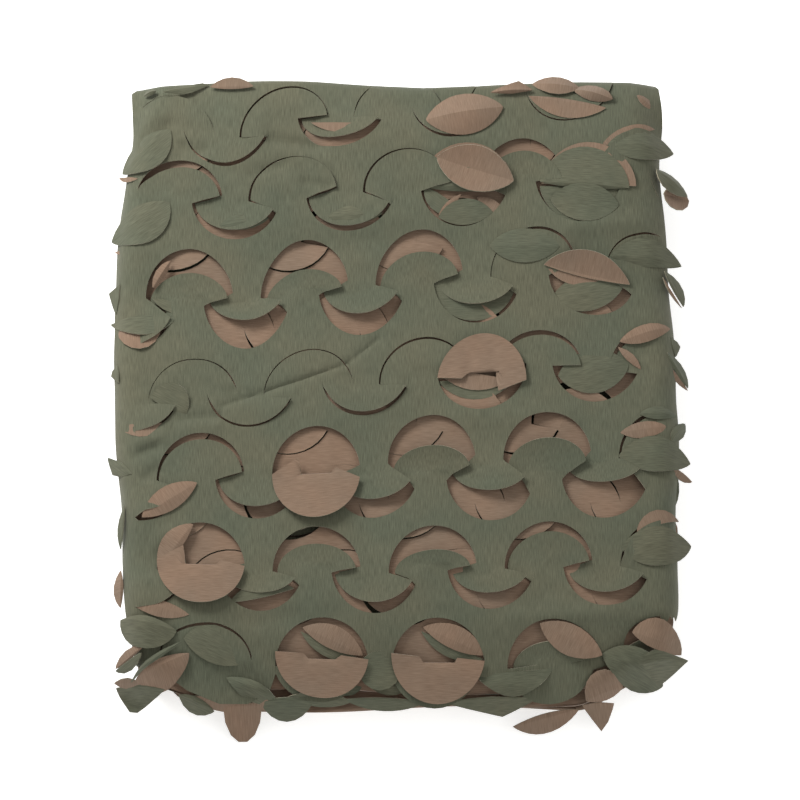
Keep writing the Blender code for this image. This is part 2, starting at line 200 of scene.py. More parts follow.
# The points that the flat cloth is filled with
filling = {
    "clear": 0.42,  # how far they stay from a cut, as a share of the spacing
    "past": 0.011,  # how far they run on past the widest layer
    "acrossBend": 56,
    "bendShare": 0.985,
    "creaseStep": 0.0025,
    "creaseSides": (-1.5, -0.75, 0.0, 0.75, 1.5),
    "creaseClear": 0.0012,
    "neckStep": 0.0011,  # across the neck of a turned leaf
    "neckClear": 0.0004,
    "cutStep": 0.003,  # along a straight cut
    "endRoom": 0.002,  # how far the lower layers' cuts stay from the bends
    "topPast": 0.008,  # how far the uppermost layer's may run past them
}

# How far a crease runs on past its ends and over what length it fades, in shares of its length
creaseEnds = {"past": 0.12, "over": 0.2}
# Soft creases of the upper layers, in millimetres: start, end, half width, height
creases = mm((
    ((-102, -15), (-74, -5), 1.8, -1.5),
    ((-74, -5), (-31, 10), 1.5, -1.5),
    ((-31, 10), (-11, 27), 1.8, -1.4),
    ((-125, -22), (-100, -20), 3, -1.3),
    ((-125, -29), (-102, -27), 4, 1.2),
    ((-150, -36), (-132, -30), 3.5, 1.5),
    ((-152, -44), (-136, -38), 3, -1.6),
    ((-146, -58), (-136, -50), 3, -1.4),
    ((-76, 145), (-44, 140), 3.6, -2.6),
    ((-127, 140), (-111, 137), 4, -2.4),
    ((-150, 143), (-130, 154), 5, -2),
    ((-56, 119), (-40, 115), 3, -1.8),
    ((-86, 124), (-66, 128), 4, -1.6),
    ((60, -140), (125, -134), 6, 1.5),
    ((-95, -140), (-30, -136), 6, -1.2),
    ((95, 92), (140, 96), 6, 2),
    ((-60, 80), (10, 86), 7, -1.2),
    ((20, -20), (100, -22), 8, 1.2),
    ((-140, -95), (-118, -86), 5, 1.4),
    ((60, -66), (84, -128), 9, -1),
    ((-20, -66), (-16, -128), 9, -1),
))

# Loose leaves of the net that have come out on top or round the edges, in millimetres: the two
# ends, how far it bulges to the left and right of the way from the first to the second, how
# high its ends, ridge, left and right rims lie over the pile, and where along a pointed rim its
# tip is. The first table's show their green face, the second's the brown one.
greenLeaves = (
    # far edge and the rows next to it
    ((-147, 173, -140, 175), (2, 1.7), (3, 5, 5, 2)),
    ((-136, 173, -110, 179), (1.8, 4), (5, 6, 7, 2), (0.86, 0.5)),
    ((51, 81, 91, 80), (10.4, 9.9), (0.8, 2.6, 0.8, 1)),
    ((-41, 98, -10, 100), (6, 5), (-0.4, 0.9, -0.2, -0.2)),
    ((-103, 93, -75, 97), (5.5, 4.5), (0.1, 1.3, 0.4, 0.3)),
    # turned circles of the second row
    ((13, 116, 63, 117), (23.2, 3), (0.2, 1.8, 1.2, -0.4)),
    ((14, 117, 36, 101), (1, 9), (-1.2, -0.7, -1, -0.9)),
    ((22, 98, 53, 101), (9.3, 5.8), (-0.8, 0, 0.8, -0.5)),
    ((80, 119, 131, 115), (22.5, 2.4), (1.0, 2.6, 1.8, 0.6)),
    ((80, 117, 131, 115), (0, 22), (-1.1, -0.8, 0, -1)),
    ((86, 109, 125, 105), (10.5, 12), (0.4, 1.4, 3, 0.3)),
    # right half
    ((119, 141, 157, 141), (9.9, 8.7), (0.8, 3, 0.9, 1.2)),
    ((147, 128, 165, 117), (3, 7), (1, 6, 3, 4)),
    ((120, 75, 161, 74), (11, 5.2), (0.4, 1.4, 1.2, -1)),
    ((151, 68, 162, 50), (5.2, 1.2), (0.8, 3, 1, 2)),
    ((18, 62, 66, 62), (0, 25), (-1.5, -1.1, 0, -1.3)),
    ((86, 49, 127, 57), (11, 10.4), (-1, 0.6, -0.2, -0.2)),
    ((90, 4, 130, 11), (11.6, 13.9), (-1, 0.6, -0.2, -0.4)),
    ((22, 1, 65, 3), (0, 12), (-1.4, -1, 0, -1.2)),
    ((154, 29, 157, 18), (5.2, 0.6), (0.4, 1.6, 0.8, 0.8), (0.4, 0.5)),
    ((152, 19, 164, 1), (4.1, 1.7), (0.6, 3, 1, 1)),
    ((136, -19, 157, -18), (4.1, 3.5), (0.6, 2, 0.8, 0.8)),
    ((154, -34, 162, -21), (3.5, 3.5), (0.6, 4, 1, 1)),
    ((124, -44, 165, -44), (12, 9), (0.3, 2, 1.4, 1)),
    ((125, -97, 165, -92), (9.5, 13), (0, 1.8, 1.3, 0.2)),
    ((131, -164, 163, -157), (6, 9), (0.6, 2.2, 1.2, 1), (0.4, 0.42)),
    # left half
    ((-142, -9, -121, -19), (13, 2), (0, 0.6, 4, 0)),
    ((-159, 127, -132, 151), (7, 12.5), (0.3, 1.1, -0.6, 1.7)),
    ((-165, 87, -132, 107), (8, 15), (0.3, 1.1, -0.6, 1.9)),
    ((-141, 50, -123, 41), (3, 3), (-1, -0.6, -0.6, -0.6)),
    ((-160, 60, -162, 43), (0.6, 5.8), (0.2, 1, 0.5, 0.5), (0.5, 0.25)),
    ((-165, 38, -126, 42), (0, 12.2), (-0.8, 0, 0, 1.6)),
    ((-161, 12, -160, 1), (0.6, 4.6), (0.2, 0.8, 0.4, 0.4), (0.5, 0.4)),
    ((-166, -41, -152, -54), (1.7, 7), (0.6, 1.8, 0.8, 0.8), (0.5, 0.6)),
    ((-156, -72, -158, -96), (0.6, 2.9), (0.2, 1, 0.4, 0.6)),
    ((-96, -129, -60, -121), (8, 1.5), (-0.4, 0.8, 0.2, 0.8)),
    # near edge and the row next to it
    ((-158, -136, -126, -145), (3.5, 13.9), (0.6, 3, 1, 1.5)),
    ((-161, -162, -146, -156), (0.5, 5), (0, 1.2, 0.4, 0)),
    ((-153, -169, -123, -151), (1.7, 1.2), (2, 4, 3, 3)),
    ((-161, -169, -133, -174), (1.2, 13), (0.5, 2, 1, 1), (0.5, 0.4)),
    ((-125, -177, -105, -186), (2.3, 5.2), (0.6, 3.5, 1, 1)),
    ((-122, -149, -89, -163), (14, 6.5), (0.6, 1.8, 0.4, 2)),
    ((-98, -170, -69, -182), (4, 6), (0.6, 2, 1, 0.8)),
    ((-79, -182, -49, -182), (1.7, 9), (0.5, 2, 0.8, 0.8)),
    ((-56, -145, -22, -160), (0, 7), (-1.2, -1, 0, -0.9)),
    ((-63, -180, -27, -182), (3, 3.5), (0.3, 1.4, 0.6, 0.4)),
    ((-24, -165, 1, -164), (8.7, 12.8), (-0.2, 1, 0.5, 0.8)),
    ((-32, -181, 15, -182), (1.2, 4.6), (0.3, 1.2, 0.6, 0.5)),
    ((12, -145, 47, -160), (0, 7), (-1.2, -1, 0, -0.9)),
    ((43, -169, 86, -165), (0, 13), (-0.8, 0.4, 0, 1.4)),
    ((24, -182, 78, -180), (1, 8), (0.3, 1.2, 0.6, 0.6), (0.5, 0.62)),
    ((114, -158, 149, -169), (9.9, 10.4), (0.4, 1.8, 0.8, 1)),
)
brownLeaves = (
    # far edge and the rows next to it
    ((15, 156, 59, 164), (12.8, 12.8), (1.4, 7, 1, 1.2)),
    ((21, 133, 65, 119), (12.5, 14), (2.6, 1.6, 8, 5.5)),
    ((74, 171, 118, 164), (2, 9.5), (1.2, 2.8, 1.6, 1.2)),
    ((76, 180, 103, 177), (6, 6), (3.5, 8.5, 9, 3)),
    ((99, 176, 122, 169), (6, 4), (3, 6, 5, 2)),
    ((52, 173, 76, 175), (6, 1.6), (3, 5, 9, 2), (0.68, 0.5)),
    ((136, 172, 147, 165), (2.3, 3), (1.6, 2.5, 2, 1)),
    ((-109, 177, -84, 177), (5.5, 1.6), (5.5, 6, 11, 4)),
    ((-51, 155, -19, 154), (0, 5.6), (0.2, 0.8, 0.4, 0)),
    # turned circles of the second row
    ((12, 117, 65, 118), (24.9, 2.3), (-0.2, 1.2, 0.8, -0.5)),
    ((22, 99, 35, 112), (2.3, 1.7), (-1, -0.6, -0.8, -0.8)),
    ((44, 110, 60, 101), (3.5, 3.5), (-1, -0.6, -0.8, -0.8)),
    ((81, 118, 135, 116), (25.5, 0), (0.4, 1.6, 1.2, 0)),
    ((109, 116, 126, 103), (1.2, 2.3), (-0.4, 0.2, 0, -0.4)),
    # right half
    ((115, 140, 146, 153), (5.8, 2.3), (-0.2, 0.8, 0.6, 0)),
    ((151, 115, 166, 115), (5, 8.5), (-1, -2, 3, 2)),
    ((150, 64, 161, 49), (0, 1.7), (0.6, 2, 1, 1)),
    ((82, 69, 131, 58), (12.8, 1.7), (1.6, 1.6, 7.5, 1.6)),
    ((84, 68, 115, 62), (0, 7), (0.2, 0.6, 0.4, 0)),
    ((21, 8, 62, 2), (0.5, 9.5), (-0.6, -0.1, 0, -0.2)),
    ((125, 24, 154, 34), (5.2, 5.2), (0.6, 2.4, 0.8, 0.8)),
    ((124, 21, 137, 8), (2.9, 1.7), (-0.6, 0.8, 0.2, -0.2)),
    ((152, 13, 164, 0), (0.6, 2.9), (-1, 1, 0, -1)),
    ((125, -30, 152, -26), (4.6, 5.2), (0.2, 1.4, 0.6, 0.4)),
    ((155, -48, 166, -54), (0.6, 4.1), (-1, 0, 0, -2)),
    ((134, -88, 158, -80), (8.5, 0), (0.2, 0.6, 0.5, 0)),
    ((131, -146, 159, -155), (12.5, 4.6), (0.6, 2.6, 1, 1)),
    # left half
    ((-161, 126, -150, 122), (0, 3), (-1.5, -0.6, 0, -0.6)),
    ((-141, 56, -131, 72), (3.5, 2.2), (0.2, 2.2, 1.5, 0)),
    ((-163, 81, -148, 79), (0, 3.5), (-1, -0.4, 0, -0.4)),
    ((-161, 33, -136, 34), (0, 13.9), (-1, -0.6, 0, 0.3)),
    ((-159, -25, -133, -24), (0, 8.1), (-1, -0.5, 0, 0.2)),
    ((-146, -80, -115, -60), (8, 6), (1.2, 3, 2.4, 1.4)),
    ((-158, -108, -158, -129), (1.5, 4), (0.4, 3, 1, 1)),
    ((-136, -109, -117, -84), (8.7, 2.9), (0.4, 2.4, 1, 1.6)),
    ((-153, -127, -119, -136), (4, 5.5), (0.1, 0.7, 0.3, 0.3)),
    # near edge and the row next to it
    ((-161, -161, -145, -153), (4.5, 1), (0, 1.5, 0.5, 0)),
    ((-152, -170, -119, -157), (3.5, 11.6), (0.4, 2.5, 1, 0.5)),
    ((-162, -167, -147, -170), (2, 2), (0.8, 2.4, 1.4, 1.4)),
    ((-123, -178, -78, -186), (1.7, 4.1), (0, 1, 0.4, 0.2)),
    ((-100, -184, -78, -184), (1.7, 16), (0.5, 1.5, 0.8, 1)),
    ((-86, -179, -64, -184), (1, 5), (0.2, 1, 0.4, 0.4)),
    ((-55, -143, -21, -158), (8.5, 4.5), (-0.8, 0.8, 0, 0.2)),
    ((13, -143, 48, -158), (8.5, 4.5), (-0.8, 0.8, 0, 0.2)),
    ((64, -193, 101, -186), (2.3, 6.4), (0.6, 2.2, 0.8, 0.8)),
    ((79, -142, 114, -159), (8, 9), (2.4, 4.4, 3, 3.2)),
    ((105, -182, 126, -173), (11, 3), (0.5, 2.4, 1, 0.4)),
    ((103, -184, 121, -181), (0.6, 13), (0.4, 1.2, 0.8, 0.8), (0.5, 0.55)),
)

# A loose leaf's mesh and how it fades to its rims
leafShape = {
    "stepLong": 0.0028, "stepWide": 0.0034, "fewest": (6, 2),
    "tipPower": 0.85,  # under 1 for the rounded sides of a pointed rim
    "fall": 1.2,  # over 1 for a ridge that stays up longer
    "rough": 0.0004,
}
# The surface that loose leaves lie on: how far it is the upper layer's own, where it turns
# down at the two ends, how round, and how steep it is after that
drape = {
    "side": 0.128, "near": 0.170, "far": 0.168, "nearEdge": 0.173, "farEdge": 0.170,
    "endRadius": 0.006, "nearSlope": 1.35, "arcShare": 0.9, "arcDrop": 0.564,
}
# Tips round the pile's sides below the uppermost layers: how many on a side, over what half
# length, how far they stand out, half width, the heights they lie between, where they begin
edgeTips = {
    "long": 15, "short": 11, "longSpan": 0.160, "shortSpan": 0.140,
    "reach": 0.0065, "nearReach": 0.0115, "half": 0.017, "lowest": 0.003, "highest": 0.030,
    "farBase": 0.1705, "nearBase": 0.1720, "nearPlace": -0.173, "sunk": 0.008, "skew": 0.003,
}


def smooth(share):
    share = min(max(share, 0.0), 1.0)
    return share * share * (3 - 2 * share)


def readCurve(rows, column, place):
    # A smooth curve through one column of a table, read at a place
    if place <= rows[0][0]:
        return rows[0][column]
    for index in range(len(rows) - 1):
        low, high = rows[index], rows[index + 1]
        if place <= high[0]:
            before, after = rows[max(index - 1, 0)], rows[min(index + 2, len(rows) - 1)]
            width = high[0] - low[0]
            t = (place - low[0]) / width
            slopeLow = (high[column] - before[column]) / (high[0] - before[0]) * width
            slopeHigh = (after[column] - low[column]) / (after[0] - low[0]) * width
            t2, t3 = t * t, t * t * t
            return ((2 * t3 - 3 * t2 + 1) * low[column] + (t3 - 2 * t2 + t) * slopeLow
                    + (3 * t2 - 2 * t3) * high[column] + (t3 - t2) * slopeHigh)
    return rows[-1][column]


bendRadius = pile["pitch"] / 2
places = (pile["backStart"],) + pile["bends"] + (pile["frontEnd"],)
layerEnds = [(places[i], places[i + 1]) for i in range(pile["layers"])]
layerStarts = [0.0]
for start, end in layerEnds[:-1]:
    layerStarts.append(layerStarts[-1] + abs(end - start) + pi * bendRadius)
topLayer = pile["layers"] - 1


def layerWay(layer):
    return 1 if layerEnds[layer][1] > layerEnds[layer][0] else -1


def layerHeight(layer):
    return pile["thickness"] / 2 + layer * pile["pitch"]


def along(layer, y):
    # Distance along the unfolded cloth of a place in a layer; past its start it runs on
    return layerStarts[layer] + layerWay(layer) * (y - layerEnds[layer][0])


def planPlace(run):
    # Where a distance along the cloth lies: layer, y in plan, share of the bend behind it
    layer = 0
    while layer < topLayer and layerStarts[layer + 1] <= run + 1e-9:
        layer += 1
    start, end = layerEnds[layer]
    length = abs(end - start)
    done = run - layerStarts[layer]
    if done <= length or layer == topLayer:
        return layer, start + layerWay(layer) * done, 0.0
    return layer, end, (done - length) / (pi * bendRadius)


def restLift(x, y, level):
    # How the layers close up on each other, sag and ripple; level counts layers, bends between
    edge = min(lying["side"] - abs(x), lying["near"] + y, lying["far"] - y)
    inside = smooth((edge - lying["edgeFrom"]) / lying["edgeOver"])
    near = max(0.0, 1 - abs(level - pile["closeAt"]) / pile["closeOver"])
    closeUp = near * pile["closeUp"] * inside
    band = min(level, 6.8 + level * 0.02)
    ripple = noise.noise(Vector((x * 17, y * 14, band * 1.7 + 3))) * lying["broad"]
    ripple += noise.noise(Vector((x * 41, y * 37, band * 2.9 + 9))) * lying["small"]
    edgeWave = noise.noise(Vector((x * 30, y * 33, band * 4.3))) * lying["edgeWave"] * (1 - inside)
    low = smooth(level / 1.5)
    return closeUp + (ripple + edgeWave) * low


def creaseLift(x, y):
    lift = 0.0
    for (x0, y0), (x1, y1), half, height in creases:
        dx, dy = x1 - x0, y1 - y0
        share = ((x - x0) * dx + (y - y0) * dy) / (dx * dx + dy * dy)
        fade = smooth((min(share, 1 - share) + creaseEnds["past"]) / creaseEnds["over"])
        if fade > 0:
            away = abs((x - x0) * dy - (y - y0) * dx) / hypot(dx, dy)
            lift += height * fade * exp(-(away / half) ** 2)
    return lift


def widening(side, y):
    # How much further out the pile reaches on one side than its plain half width
    return readCurve(pileAlong, 3 if side > 0 else 2, y) - pile["halfWidth"]


def layerHalf(layer, side, y):
    # The upper layers are as wide as the pile there, the lower ones are moved out by settle
    wider = widening(side, y) if layer > pile["upperFrom"] else 0.0
    return pile["edgeHalf"][layer] + wider


def cornerPull(x, y):
    pull = pile["cornerPull"][1 if x > 0 else 0]
    across = smooth((abs(x) - pile["cornerFrom"][0]) / pile["cornerOver"][0])
    return pull * across * smooth((pile["cornerFrom"][1] - y) / pile["cornerOver"][1])


def rollOver(x, y, level):
    # The upper layers turn down over the sides: the new x and how far it drops
    ease = pile["rollEase"] * smooth((y - pile["rollEaseFrom"]) / pile["rollEaseOver"])
    limit = pile["rollTurn"] * smooth(level - pile["upperFrom"]) * (1 - ease)
    start = pile["rollStart"] + pile["rollWave"] * noise.noise(Vector((y * 19, x, 5)))
    start += widening(x, y)
    over = abs(x) - start
    if over <= 0 or limit <= 0:
        return x, 0.0
    radius = max(pile["rollRadius"] - pile["pitch"] * (topLayer - level), 0.0005)
    angle = min(over / radius, limit)
    rest = over - angle * radius
    out = start + radius * sin(angle) + rest * cos(angle)
    return copysign(out, x), radius * (1 - cos(angle)) + rest * sin(angle)


def spread(x, y):
    # Only the outer part of a layer follows the pile's changing width
    share = smooth((abs(x) - pile["widenFrom"]) / pile["widenOver"])
    return x + copysign(share, x) * widening(x, y)


def settle(x, y, z, level, lift):
    lower = 1 - smooth(level - pile["upperFrom"])
    height = readCurve(pileAlong, 1, y) * (1 + (readCurve(pileAcross, 1, x) - 1) * lower)
    wander = pile["wander"] * readCurve(pileAlong, 4, y)
    shift = wander * sin(pile["wanderTurns"][0] * x + pile["wanderTurns"][1] * z)
    rolled, drop = rollOver(x, y, level)
    rolled += (spread(x, y) - x) * lower
    rise = z * height + restLift(x, y, level) + lift - drop
    if level > pile["creasedFrom"]:
        rise += creaseLift(x, y)
    return Vector((rolled + pile["middle"][0], y + shift + cornerPull(x, y) + pile["middle"][1],
                   max(rise, pile["thickness"] / 2)))


def lay(x, run):
    # A place of the unfolded cloth in the folded pile
    layer, y, bend = planPlace(run)
    z = layerHeight(layer)
    if bend > 0:
        turn = pi * bend
        y += layerWay(layer) * bendRadius * sin(turn)
        z += bendRadius * (1 - cos(turn))
    return settle(x, y, z, layer + bend, 0.0)


def rowHeight(row, x):
    return readCurve(row["line"], 1, x)


def figureArc(leaf, count):
    # The rounded cut of one leaf, from its left end to its right, with y counted from its row
    a = figure["radius"] * leaf["row"]["slim"]
    b = figure["radius"] * leaf["row"]["tall"]
    lowRight = asin(figure["drop"] / b)
    lowLeft = asin((figure["drop"] - leaf["tail"]) / b)
    points = []
    for step in range(count + 1):
        angle = pi - lowLeft + (lowRight - pi + lowLeft) * step / count
        points.append((a * cos(angle), b * sin(angle) - figure["drop"]))
    if leaf["arch"] < 0:
        points = [(-u, -v) for u, v in reversed(points)]
    return [(leaf["cx"] + u, leaf["ends"] + v) for u, v in points]


def rowLeaves(row, step):
    # The leaves of one row from the left, cups and caps in turn
    leaves = []
    count = int(pi * figure["radius"] / step)
    total = max(len(row["caps"]), len(row["cups"]))
    for index in range(total + 1):
        for arch, shares, shift in ((-1, row["cups"], figure["cupShift"] - figure["period"]),
                                    (1, row["caps"], 0.0)):
            if index >= len(shares):
                continue
            cx = row["x"] + shift + index * figure["period"]
            gap = readCurve(row["gap"], 1, cx)
            leaves.append({"cx": cx, "arch": arch, "ends": arch * gap / 2, "row": row,
                           "share": shares[index] / 100, "tail": figure["tail"], "linked": False})
    leaves.sort(key=lambda leaf: leaf["cx"])
    pairs = [(leaves[i], leaves[i + 1]) for i in range(len(leaves) - 1)
             if leaves[i]["arch"] != leaves[i + 1]["arch"]]
    for before, after in pairs:
        # a cup and the cap after it share a corner, which one of the two wings takes
        if before["arch"] < 0:
            other = after if before["share"] == 0 else before
            other["tail"] = figure["shortTail"]
    for leaf in leaves:
        leaf["arc"] = figureArc(leaf, count)
        neck = -leaf["ends"]
        leaf["left"] = (leaf["cx"] - figure["neckLeft"], neck)
        leaf["right"] = (leaf["cx"] + figure["neckRight"], neck)
        leaf["corner"] = None
    for before, after in pairs:
        before["right"], after["left"] = after["arc"][0], before["arc"][-1]
        before["after"] = after
        if before["arch"] < 0:
            back = round(figure["corner"] / step)
            if before["tail"] == figure["shortTail"]:
                corner, start = before["arc"][-1 - back], after["arc"][0]
            else:
                corner, start = after["arc"][back], before["arc"][-1]
            before["joint"] = (start, corner)
            before["corner"] = after["corner"] = corner
    for leaf in leaves:
        arc, corner = leaf["arc"], leaf["corner"]
        bothEnds = not corner or leaf["tail"] == figure["tail"]
        base = [leaf["left"], leaf["right"]]
        if corner:
            base.insert(0 if leaf["arch"] > 0 else 2, corner)
        first = [arc[0]] if bothEnds or leaf["arch"] < 0 else []
        last = [arc[-1]] if bothEnds or leaf["arch"] > 0 else []
        leaf["base"] = first + base + last
        leaf["line"] = [arc[0], leaf["left"], leaf["right"], arc[-1]]
        leaf["neck"] = (leaf["left"][1] + leaf["right"][1]) / 2
    return leaves


def lowerLeaves(layer):
    found = []
    for index in range(lowerRows["count"]):
        drift = lowerRows["drift"] * sin(2.1 * layer + index)
        y = lowerRows["first"] + index * lowerRows["pitch"] + drift
        shift = lowerRows["sideDrift"] * sin(1.3 * layer)
        caps, cups = [], []
        for column in range(-5, 6):
            opened = (column + 2 * index + 3 * layer) % lowerRows["every"] == 0
            share = lowerRows["openShare" if opened and abs(column) < 4 else "shutShare"]
            (caps if column % 2 else cups).append(share)
        row = {"line": ((-0.2, y), (0.2, y)), "x": shift - 2.5 * figure["period"],
               "gap": ((0.0, 0.0),), "tall": 1.0, "slim": 1.0, "trim": lowerRows["trim"],
               "caps": caps, "cups": [lowerRows["shutShare"]] + cups}
        found += rowLeaves(row, lowerRows["step"])
    return found


def straightCut(start, end):
    length = hypot(start[0] - end[0], start[1] - end[1])
    count = max(2, int(length / filling["cutStep"]))
    return [(start[0] + (end[0] - start[0]) * i / count,
             start[1] + (end[1] - start[1]) * i / count) for i in range(count + 1)]


def leafCuts(leaves, limit):
    # The cuts of a set of leaves as runs of points in plan, kept clear of the cloth's edges
    runs = []
    for leaf in leaves:
        paths = [leaf["arc"]]
        after = leaf.get("after")
        if after and leaf["arch"] > 0:
            if min(leaf["share"], after["share"]) > leafLie["closedFrom"]:
                leaf["linked"] = after["linked"] = True
            else:
                paths.append(straightCut(leaf["arc"][-1], after["arc"][0]))
        elif after:
            paths.append(straightCut(*leaf["joint"]))
        if not leaf["row"]["cups"] and leaf["share"] < leafLie["closedFrom"]:
            paths.append(straightCut(leaf["arc"][0], leaf["left"]))
            paths.append(straightCut(leaf["right"], leaf["arc"][-1]))
        for path in paths:
            run = []
            # a last point far outside ends the run
            for x, v in path + [(9.0, 0.0)]:
                if abs(x) < limit:
                    run.append((x, v + rowHeight(leaf["row"], x)))
                else:
                    if len(run) > 1:
                        runs.append(run)
                    run = []
    return runs


def readLine(points, x):
    # Height of a run of straight pieces at a place across
    if x <= points[0][0]:
        return points[0][1]
    for (x0, y0), (x1, y1) in zip(points, points[1:]):
        if x <= x1:
            return y0 + (y1 - y0) * (x - x0) / max(x1 - x0, 1e-6)
    return points[-1][1]


def insideLeaf(leaf, x, v):
    row = leaf["row"]
    a, b = figure["radius"] * row["slim"], figure["radius"] * row["tall"]
    u = x - leaf["cx"]
    if abs(u) > a * 1.02 or leaf["arch"] * (v - readLine(leaf["base"], x)) < -1e-7:
        return False
    up = leaf["arch"] * (v - leaf["ends"]) + figure["drop"]
    return (u / a) ** 2 + (up / b) ** 2 < 1.0


def leafPlace(leaf, x, y, edgeRoom):
    # Where a point of a leaf comes to lie in plan, and how far above its layer
    row, arch, share = leaf["row"], leaf["arch"], leaf["share"]
    ground = rowHeight(row, x)
    v = y - ground
    u = x - leaf["cx"]
    height = figure["radius"] * row["tall"]
    held = smooth((edgeRoom - leafLie["heldFrom"]) / leafLie["heldOver"])
    outside = max(leaf["left"][0] - x, x - leaf["right"][0], 0.0)
    if share == 0:
        # turned over its neck
        run = arch * (v - leaf["neck"])
        radius = leafLie["turnedBend"]
        far = (run - pi * radius) * leafLie["turnedShare" if arch > 0 else "turnedCupShare"]
        flatV, flatLift = leaf["neck"] - arch * far, 2 * radius
        if run < pi * radius:
            turn = max(run, 0.0) / radius
            bentV = leaf["neck"] + arch * radius * sin(turn) + min(run, 0.0) * arch
            bentLift = radius * (1 - cos(turn))
            free = smooth(outside / leafLie["neckEase"])
            flatV = bentV + (flatV - bentV) * free
            flatLift = bentLift + (flatLift - bentLift) * free
        curl = leafLie["turnedCurl"] * (max(run, 0) / height) ** 2
        curl += leafLie["turnedWave"] * sin(2.2 * u / height + arch)
        return x, ground + flatV, flatLift + curl * smooth(abs(run) / leafLie["curlFrom"])
    t = arch * (v - leaf["neck"])
    if leaf["linked"]:
        free = smooth(arch * (v - readLine(leaf["line"], x)) / leafLie["reach"]) * held
    else:
        free = smooth(hypot(outside, max(t, 0.0)) / leafLie["reach"]) * held
    slack = max(1 - share, 0.0)
    sink = slack * (1.0 if t > 0 else leafLie["tuck"])
    centre = leaf["ends"] - arch * figure["drop"]
    trim = row.get("trim", leafLie["trim"])
    newV = v - arch * t * sink * free + (centre - v) * trim * free
    newX = x - u * (leafLie["narrow"] * slack + trim) * free
    side = u / figure["radius"]
    odd = sin(31 * leaf["cx"] * 40 + 57 * row["line"][0][1] * 30)
    even = cos(5 * odd + 80 * leaf["cx"])
    outward = max(t / height, 0.0) ** 2 * held
    lift = leafLie["wing"] * smooth(0.3 + slack * 3) * side * free
    lift += leafLie["lift"] * smooth(slack * 4) * (1 + 0.5 * odd) * outward
    if share > leafLie["closedFrom"]:
        newX += leafLie["slip"] * odd * free
        newV += leafLie["slip"] * even * free
        lift += (leafLie["closedLift"] + leafLie["closedOdd"] * odd) * free
        lift += leafLie["tilt"] * even * outward
    return newX, newV + rowHeight(row, newX), lift


def sideRun(side):
    # One long edge of the unfolded cloth, from the lowest layer up
    points = []
    for layer, (start, end) in enumerate(layerEnds):
        count = int(abs(end - start) / (gridSteps[layer] * sideEdge["meshShare"]))
        for index in range(count + 1):
            y = start + (end - start) * index / count
            out = layerHalf(layer, side, y)
            out += sideEdge["wave"] * sin(9 * layer + 71 * y + side)
            out -= sideEdge["notch"] * smooth(0.5 + sin(47 * y + 5 * layer + side))
            points.append((side * out, along(layer, y)))
        if layer < topLayer:
            bendLength = pi * bendRadius
            base = layerStarts[layer] + abs(end - start)
            low, high = layerHalf(layer, side, end), layerHalf(layer + 1, side, end)
            for index in range(1, pile["bendSteps"]):
                share = index / pile["bendSteps"]
                points.append((side * (low + (high - low) * share), base + share * bendLength))
    return points


def endRun():
    points = []
    short, steps = endLobes["short"], endLobes["steps"]
    for cx in endLobes["centres"]:
        for index in range(steps + 1):
            angle = -short + (2 * short - pi) * index / steps
            x = cx + figure["radius"] * cos(angle)
            points.append((x, rowHeight(upperRows[-1], x) + endLobes["depth"] * sin(angle)))
    return [(x, along(topLayer, y)) for x, y in points + list(plainEnd)]


def addCuts(verts, edges):
    # Adds the cuts of all layers to the points and edges, and gives back each layer's leaves
    allLeaves = []
    for layer in range(pile["layers"]):
        if layer == topLayer:
            leaves = [leaf for row in upperRows for leaf in rowLeaves(row, figure["step"])]
            room = -filling["topPast"]
        else:
            leaves = lowerLeaves(layer)
            room = filling["endRoom"]
        allLeaves.append(leaves)
        low, high = sorted(layerEnds[layer])
        for run in leafCuts(leaves, pile["edgeHalf"][layer] - figure["margin"]):
            run = [p for p in run if low + room < p[1] < high - room]
            if len(run) < 2:
                continue
            first = len(verts)
            verts += [Vector((x, along(layer, y))) for x, y in run]
            edges += [(first + i, first + i + 1) for i in range(len(run) - 1)]
    return allLeaves


def layerPoints(tree):
    # Points that fill the layers between the cuts, and the bends
    found = []
    widest = (max(pile["edgeHalf"]) + filling["past"]) * 1.05
    for layer, (start, end) in enumerate(layerEnds):
        step = gridSteps[layer]
        rows = max(2, int(abs(end - start) / step))
        columns = int(2 * widest / step)
        for j in range(rows + 1):
            run = layerStarts[layer] + abs(end - start) * j / rows
            for i in range(columns + 1):
                x = (i + 0.5 * (j % 2)) * step - widest
                if tree.find((x, run, 0))[2] > step * filling["clear"]:
                    found.append(Vector((x, run + 1e-5 * sin(i * 1.3 + j))))
        if layer < topLayer:
            base = layerStarts[layer] + abs(end - start)
            across = filling["acrossBend"]
            half = min(pile["edgeHalf"][layer:layer + 2]) * filling["bendShare"]
            for j in range(1, pile["bendSteps"]):
                run = base + pi * bendRadius * j / pile["bendSteps"]
                for i in range(across + 1):
                    found.append(Vector(((2 * i / across - 1) * half, run + 1e-6 * i)))
    return found


def creasePoints(tree):
    # Closer points along the soft creases
    found = []
    step = filling["creaseStep"]
    for (x0, y0), (x1, y1), half, _ in creases:
        length = hypot(x1 - x0, y1 - y0)
        for i in range(int(length / step) + 1):
            for side in filling["creaseSides"]:
                x = x0 + (x1 - x0) * i * step / length - (y1 - y0) / length * side * half
                y = y0 + (y1 - y0) * i * step / length + (x1 - x0) / length * side * half
                run = along(topLayer, y)
                if tree.find((x, run, 0))[2] > filling["creaseClear"]:
                    found.append(Vector((x, run)))
    return found


